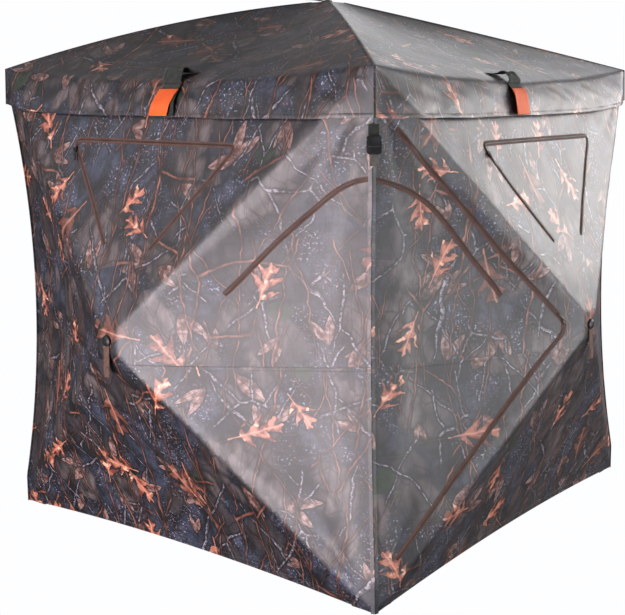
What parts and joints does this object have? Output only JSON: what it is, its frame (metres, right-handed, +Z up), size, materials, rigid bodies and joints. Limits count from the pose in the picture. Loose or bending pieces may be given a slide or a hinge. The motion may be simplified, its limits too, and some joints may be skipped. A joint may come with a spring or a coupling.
{
  "type": "pop up ground blind",
  "caption": "Square camouflage cloth shelter whose walls and roof are each pushed outward by a central hub with folding poles, with a zipped door and windows.",
  "frame": {"origin": "middle of the square footprint, on the ground", "axes": "+Z up; the front wall faces -Y, the wall with the door faces +X, and the door is beside the front right corner"},
  "size_m": [2.069, 2.069, 1.7445],
  "materials": {
    "camo_cloth": "printed satin polyester",
    "mesh_cloth": "open black mesh",
    "zipper_tape": "woven brown zipper tape with coil",
    "zipper_metal": "dark painted metal",
    "black_plastic": "moulded black nylon",
    "black_webbing": "woven webbing",
    "brown_webbing": "woven webbing",
    "orange_cloth": "bright orange woven cloth",
    "fibreglass": "dark pultruded fibreglass rod"
  },
  "bodies": {
    "root": {"wall_front": "camo_cloth", "wall_right": "camo_cloth", "wall_back": "camo_cloth", "wall_left": "camo_cloth", "roof_cover": "camo_cloth", "corner_cup_upper_front_left": "black_plastic", "corner_cup_upper_front_right": "black_plastic", "corner_cup_upper_back_right": "black_plastic", "corner_cup_upper_back_left": "black_plastic", "corner_cup_lower_front_left": "black_plastic", "corner_cup_lower_front_right": "black_plastic", "corner_cup_lower_back_right": "black_plastic", "corner_cup_lower_back_left": "black_plastic", "corner_strap": "black_webbing"},
    "hub_front": {"hub_front": "black_plastic"},
    "pole_front_upper_left": {"pole_front_upper_left": "fibreglass"},
    "pole_front_upper_right": {"pole_front_upper_right": "fibreglass"},
    "pole_front_lower_left": {"pole_front_lower_left": "fibreglass"},
    "pole_front_lower_right": {"pole_front_lower_right": "fibreglass"},
    "hub_tab_front": {"hub_tab_front": "brown_webbing"},
    "window_screen_front": {"window_screen_front": "mesh_cloth"},
    "window_flap_front": {"window_flap_front": "camo_cloth"},
    "flag_strap_front": {"flag_strap_front": "orange_cloth"},
    "hub_right": {"hub_right": "black_plastic"},
    "pole_right_upper_left": {"pole_right_upper_left": "fibreglass"},
    "pole_right_upper_right": {"pole_right_upper_right": "fibreglass"},
    "pole_right_lower_left": {"pole_right_lower_left": "fibreglass"},
    "pole_right_lower_right": {"pole_right_lower_right": "fibreglass"},
    "hub_tab_right": {"hub_tab_right": "brown_webbing"},
    "window_screen_right": {"window_screen_right": "mesh_cloth"},
    "window_flap_right": {"window_flap_right": "camo_cloth"},
    "flag_strap_right": {"flag_strap_right": "orange_cloth"},
    "hub_back": {"hub_back": "black_plastic"},
    "pole_back_upper_left": {"pole_back_upper_left": "fibreglass"},
    "pole_back_upper_right": {"pole_back_upper_right": "fibreglass"},
    "pole_back_lower_left": {"pole_back_lower_left": "fibreglass"},
    "pole_back_lower_right": {"pole_back_lower_right": "fibreglass"},
    "hub_tab_back": {"hub_tab_back": "brown_webbing"},
    "window_screen_back": {"window_screen_back": "mesh_cloth"},
    "window_flap_back": {"window_flap_back": "camo_cloth"},
    "flag_strap_back": {"flag_strap_back": "orange_cloth"},
    "hub_left": {"hub_left": "black_plastic"},
    "pole_left_upper_left": {"pole_left_upper_left": "fibreglass"},
    "pole_left_upper_right": {"pole_left_upper_right": "fibreglass"},
    "pole_left_lower_left": {"pole_left_lower_left": "fibreglass"},
    "pole_left_lower_right": {"pole_left_lower_right": "fibreglass"},
    "hub_tab_left": {"hub_tab_left": "brown_webbing"},
    "window_screen_left": {"window_screen_left": "mesh_cloth"},
    "window_flap_left": {"window_flap_left": "camo_cloth"},
    "flag_strap_left": {"flag_strap_left": "orange_cloth"},
    "hub_roof": {"hub_roof": "black_plastic"},
    "pole_roof_front_left": {"pole_roof_front_left": "fibreglass"},
    "pole_roof_front_right": {"pole_roof_front_right": "fibreglass"},
    "pole_roof_back_right": {"pole_roof_back_right": "fibreglass"},
    "pole_roof_back_left": {"pole_roof_back_left": "fibreglass"},
    "hub_tab_roof": {"hub_tab_roof": "brown_webbing"},
    "door_frame": {"door_zipper": "zipper_tape"},
    "door_flap": {"door_flap": "camo_cloth"},
    "door_zipper_slider": {"door_zipper_slider": "zipper_metal"},
    "corner_buckle": {"corner_buckle": "black_plastic"}
  },
  "joints": [
    {"name": "push_hub_front", "type": "slide", "parent": "root", "child": "hub_front", "axis": [0, 1, 0], "range_m": [0, 0.514], "deforming": ["wall_front"]},
    {"name": "swing_pole_front_upper_left", "type": "hinge", "parent": "hub_front", "child": "pole_front_upper_left", "pos_m": [-0.0174, -0.997, 0.74095], "axis": [0.718, 0, 0.6961], "range_deg": [0, 29.39]},
    {"name": "swing_pole_front_upper_right", "type": "hinge", "parent": "hub_front", "child": "pole_front_upper_right", "pos_m": [0.0174, -0.997, 0.74095], "axis": [0.718, 0, -0.6961], "range_deg": [0, 29.39]},
    {"name": "swing_pole_front_lower_left", "type": "hinge", "parent": "hub_front", "child": "pole_front_lower_left", "pos_m": [-0.01802, -0.997, 0.70567], "axis": [-0.6931, 0, 0.7209], "range_deg": [0, 30.42]},
    {"name": "swing_pole_front_lower_right", "type": "hinge", "parent": "hub_front", "child": "pole_front_lower_right", "pos_m": [0.01802, -0.997, 0.70567], "axis": [-0.6931, 0, -0.7209], "range_deg": [0, 30.42]},
    {"name": "lift_hub_tab_front", "type": "hinge", "parent": "hub_front", "child": "hub_tab_front", "pos_m": [0, -1.0285, 0.704], "axis": [-1, 0, 0], "range_deg": [0, 70]},
    {"name": "swing_window_front", "type": "hinge", "parent": "root", "child": "window_screen_front", "pos_m": [0, -0.76, 1.5], "axis": [1, 0, 0], "range_deg": [0, 38.34]},
    {"name": "open_window_flap_front", "type": "hinge", "parent": "window_screen_front", "child": "window_flap_front", "pos_m": [0, -0.94464, 0.9865], "axis": [1, 0, 0], "range_deg": [0, 150]},
    {"name": "lift_flag_strap_front", "type": "hinge", "parent": "root", "child": "flag_strap_front", "pos_m": [0.05, -0.78932, 1.456], "axis": [-1, 0, 0], "range_deg": [0, 70]},
    {"name": "push_hub_right", "type": "slide", "parent": "root", "child": "hub_right", "axis": [-1, 0, 0], "range_m": [0, 0.514], "deforming": ["wall_right"]},
    {"name": "swing_pole_right_upper_left", "type": "hinge", "parent": "hub_right", "child": "pole_right_upper_left", "pos_m": [0.997, -0.0174, 0.74095], "axis": [0, 0.718, 0.6961], "range_deg": [0, 29.39]},
    {"name": "swing_pole_right_upper_right", "type": "hinge", "parent": "hub_right", "child": "pole_right_upper_right", "pos_m": [0.997, 0.0174, 0.74095], "axis": [0, 0.718, -0.6961], "range_deg": [0, 29.39]},
    {"name": "swing_pole_right_lower_left", "type": "hinge", "parent": "hub_right", "child": "pole_right_lower_left", "pos_m": [0.997, -0.01802, 0.70567], "axis": [0, -0.6931, 0.7209], "range_deg": [0, 30.42]},
    {"name": "swing_pole_right_lower_right", "type": "hinge", "parent": "hub_right", "child": "pole_right_lower_right", "pos_m": [0.997, 0.01802, 0.70567], "axis": [0, -0.6931, -0.7209], "range_deg": [0, 30.42]},
    {"name": "lift_hub_tab_right", "type": "hinge", "parent": "hub_right", "child": "hub_tab_right", "pos_m": [1.0285, 0, 0.704], "axis": [0, -1, 0], "range_deg": [0, 70]},
    {"name": "swing_window_right", "type": "hinge", "parent": "root", "child": "window_screen_right", "pos_m": [0.76, 0, 1.5], "axis": [0, 1, 0], "range_deg": [0, 38.34]},
    {"name": "open_window_flap_right", "type": "hinge", "parent": "window_screen_right", "child": "window_flap_right", "pos_m": [0.94464, 0, 0.9865], "axis": [0, 1, 0], "range_deg": [0, 150]},
    {"name": "lift_flag_strap_right", "type": "hinge", "parent": "root", "child": "flag_strap_right", "pos_m": [0.78932, -0.085, 1.456], "axis": [0, -1, 0], "range_deg": [0, 70]},
    {"name": "push_hub_back", "type": "slide", "parent": "root", "child": "hub_back", "axis": [0, -1, 0], "range_m": [0, 0.514], "deforming": ["wall_back"]},
    {"name": "swing_pole_back_upper_left", "type": "hinge", "parent": "hub_back", "child": "pole_back_upper_left", "pos_m": [0.0174, 0.997, 0.74095], "axis": [-0.718, 0, 0.6961], "range_deg": [0, 29.39]},
    {"name": "swing_pole_back_upper_right", "type": "hinge", "parent": "hub_back", "child": "pole_back_upper_right", "pos_m": [-0.0174, 0.997, 0.74095], "axis": [-0.718, 0, -0.6961], "range_deg": [0, 29.39]},
    {"name": "swing_pole_back_lower_left", "type": "hinge", "parent": "hub_back", "child": "pole_back_lower_left", "pos_m": [0.01802, 0.997, 0.70567], "axis": [0.6931, 0, 0.7209], "range_deg": [0, 30.42]},
    {"name": "swing_pole_back_lower_right", "type": "hinge", "parent": "hub_back", "child": "pole_back_lower_right", "pos_m": [-0.01802, 0.997, 0.70567], "axis": [0.6931, 0, -0.7209], "range_deg": [0, 30.42]},
    {"name": "lift_hub_tab_back", "type": "hinge", "parent": "hub_back", "child": "hub_tab_back", "pos_m": [0, 1.0285, 0.704], "axis": [1, 0, 0], "range_deg": [0, 70]},
    {"name": "swing_window_back", "type": "hinge", "parent": "root", "child": "window_screen_back", "pos_m": [0, 0.76, 1.5], "axis": [-1, 0, 0], "range_deg": [0, 38.34]},
    {"name": "open_window_flap_back", "type": "hinge", "parent": "window_screen_back", "child": "window_flap_back", "pos_m": [0, 0.94464, 0.9865], "axis": [-1, 0, 0], "range_deg": [0, 150]},
    {"name": "lift_flag_strap_back", "type": "hinge", "parent": "root", "child": "flag_strap_back", "pos_m": [-0.05, 0.78932, 1.456], "axis": [1, 0, 0], "range_deg": [0, 70]},
    {"name": "push_hub_left", "type": "slide", "parent": "root", "child": "hub_left", "axis": [1, 0, 0], "range_m": [0, 0.514], "deforming": ["wall_left"]},
    {"name": "swing_pole_left_upper_left", "type": "hinge", "parent": "hub_left", "child": "pole_left_upper_left", "pos_m": [-0.997, 0.0174, 0.74095], "axis": [0, -0.718, 0.6961], "range_deg": [0, 29.39]},
    {"name": "swing_pole_left_upper_right", "type": "hinge", "parent": "hub_left", "child": "pole_left_upper_right", "pos_m": [-0.997, -0.0174, 0.74095], "axis": [0, -0.718, -0.6961], "range_deg": [0, 29.39]},
    {"name": "swing_pole_left_lower_left", "type": "hinge", "parent": "hub_left", "child": "pole_left_lower_left", "pos_m": [-0.997, 0.01802, 0.70567], "axis": [0, 0.6931, 0.7209], "range_deg": [0, 30.42]},
    {"name": "swing_pole_left_lower_right", "type": "hinge", "parent": "hub_left", "child": "pole_left_lower_right", "pos_m": [-0.997, -0.01802, 0.70567], "axis": [0, 0.6931, -0.7209], "range_deg": [0, 30.42]},
    {"name": "lift_hub_tab_left", "type": "hinge", "parent": "hub_left", "child": "hub_tab_left", "pos_m": [-1.0285, 0, 0.704], "axis": [0, 1, 0], "range_deg": [0, 70]},
    {"name": "swing_window_left", "type": "hinge", "parent": "root", "child": "window_screen_left", "pos_m": [-0.76, 0, 1.5], "axis": [0, -1, 0], "range_deg": [0, 38.34]},
    {"name": "open_window_flap_left", "type": "hinge", "parent": "window_screen_left", "child": "window_flap_left", "pos_m": [-0.94464, 0, 0.9865], "axis": [0, -1, 0], "range_deg": [0, 150]},
    {"name": "lift_flag_strap_left", "type": "hinge", "parent": "root", "child": "flag_strap_left", "pos_m": [-0.78932, 0.085, 1.456], "axis": [0, 1, 0], "range_deg": [0, 70]},
    {"name": "push_hub_roof", "type": "slide", "parent": "root", "child": "hub_roof", "axis": [0, 0, -1], "range_m": [0, 0.464], "deforming": ["roof_cover"]},
    {"name": "swing_pole_roof_front_left", "type": "hinge", "parent": "hub_roof", "child": "pole_roof_front_left", "pos_m": [-0.01768, -0.01768, 1.707], "axis": [-0.7071, 0.7071, 0], "range_deg": [0, 27.06]},
    {"name": "swing_pole_roof_front_right", "type": "hinge", "parent": "hub_roof", "child": "pole_roof_front_right", "pos_m": [0.01768, -0.01768, 1.707], "axis": [-0.7071, -0.7071, 0], "range_deg": [0, 27.06]},
    {"name": "swing_pole_roof_back_right", "type": "hinge", "parent": "hub_roof", "child": "pole_roof_back_right", "pos_m": [0.01768, 0.01768, 1.707], "axis": [0.7071, -0.7071, 0], "range_deg": [0, 27.06]},
    {"name": "swing_pole_roof_back_left", "type": "hinge", "parent": "hub_roof", "child": "pole_roof_back_left", "pos_m": [-0.01768, 0.01768, 1.707], "axis": [0.7071, 0.7071, 0], "range_deg": [0, 27.06]},
    {"name": "lift_hub_tab_roof", "type": "hinge", "parent": "hub_roof", "child": "hub_tab_roof", "pos_m": [0, -0.019, 1.7385], "axis": [-1, 0, 0], "range_deg": [0, 90]},
    {"name": "swing_door_frame", "type": "hinge", "parent": "root", "child": "door_frame", "pos_m": [0.76, -0.76, 0.723], "axis": [0, 0, 1], "range_deg": [0, 39.16]},
    {"name": "open_door_flap", "type": "hinge", "parent": "door_frame", "child": "door_flap", "pos_m": [0.776, -0.69, 0.723], "axis": [0, 0, -1], "range_deg": [0, 120]},
    {"name": "pull_door_slider", "type": "slide", "parent": "door_frame", "child": "door_zipper_slider", "axis": [-0.2489, -0.6762, 0.6934], "range_m": [0, 0.78]},
    {"name": "unclip_corner_buckle", "type": "slide", "parent": "root", "child": "corner_buckle", "axis": [0, 0, -1], "range_m": [0, 0.03]}
  ],
  "couplings": [
    {"joint": "swing_pole_front_upper_left", "follows": "push_hub_front", "rad_per_m": 0.99733},
    {"joint": "swing_pole_front_upper_right", "follows": "push_hub_front", "rad_per_m": 0.99733},
    {"joint": "swing_pole_front_lower_left", "follows": "push_hub_front", "rad_per_m": 1.0321},
    {"joint": "swing_pole_front_lower_right", "follows": "push_hub_front", "rad_per_m": 1.0321},
    {"joint": "swing_window_front", "follows": "push_hub_front", "rad_per_m": 1.301},
    {"joint": "swing_pole_right_upper_left", "follows": "push_hub_right", "rad_per_m": 0.99733},
    {"joint": "swing_pole_right_upper_right", "follows": "push_hub_right", "rad_per_m": 0.99733},
    {"joint": "swing_pole_right_lower_left", "follows": "push_hub_right", "rad_per_m": 1.0321},
    {"joint": "swing_pole_right_lower_right", "follows": "push_hub_right", "rad_per_m": 1.0321},
    {"joint": "swing_window_right", "follows": "push_hub_right", "rad_per_m": 1.301},
    {"joint": "swing_pole_back_upper_left", "follows": "push_hub_back", "rad_per_m": 0.99733},
    {"joint": "swing_pole_back_upper_right", "follows": "push_hub_back", "rad_per_m": 0.99733},
    {"joint": "swing_pole_back_lower_left", "follows": "push_hub_back", "rad_per_m": 1.0321},
    {"joint": "swing_pole_back_lower_right", "follows": "push_hub_back", "rad_per_m": 1.0321},
    {"joint": "swing_window_back", "follows": "push_hub_back", "rad_per_m": 1.301},
    {"joint": "swing_pole_left_upper_left", "follows": "push_hub_left", "rad_per_m": 0.99733},
    {"joint": "swing_pole_left_upper_right", "follows": "push_hub_left", "rad_per_m": 0.99733},
    {"joint": "swing_pole_left_lower_left", "follows": "push_hub_left", "rad_per_m": 1.0321},
    {"joint": "swing_pole_left_lower_right", "follows": "push_hub_left", "rad_per_m": 1.0321},
    {"joint": "swing_window_left", "follows": "push_hub_left", "rad_per_m": 1.301},
    {"joint": "swing_pole_roof_front_left", "follows": "push_hub_roof", "rad_per_m": 1.017},
    {"joint": "swing_pole_roof_front_right", "follows": "push_hub_roof", "rad_per_m": 1.017},
    {"joint": "swing_pole_roof_back_right", "follows": "push_hub_roof", "rad_per_m": 1.017},
    {"joint": "swing_pole_roof_back_left", "follows": "push_hub_roof", "rad_per_m": 1.017},
    {"joint": "swing_door_frame", "follows": "push_hub_right", "rad_per_m": 1.3292}
  ]
}
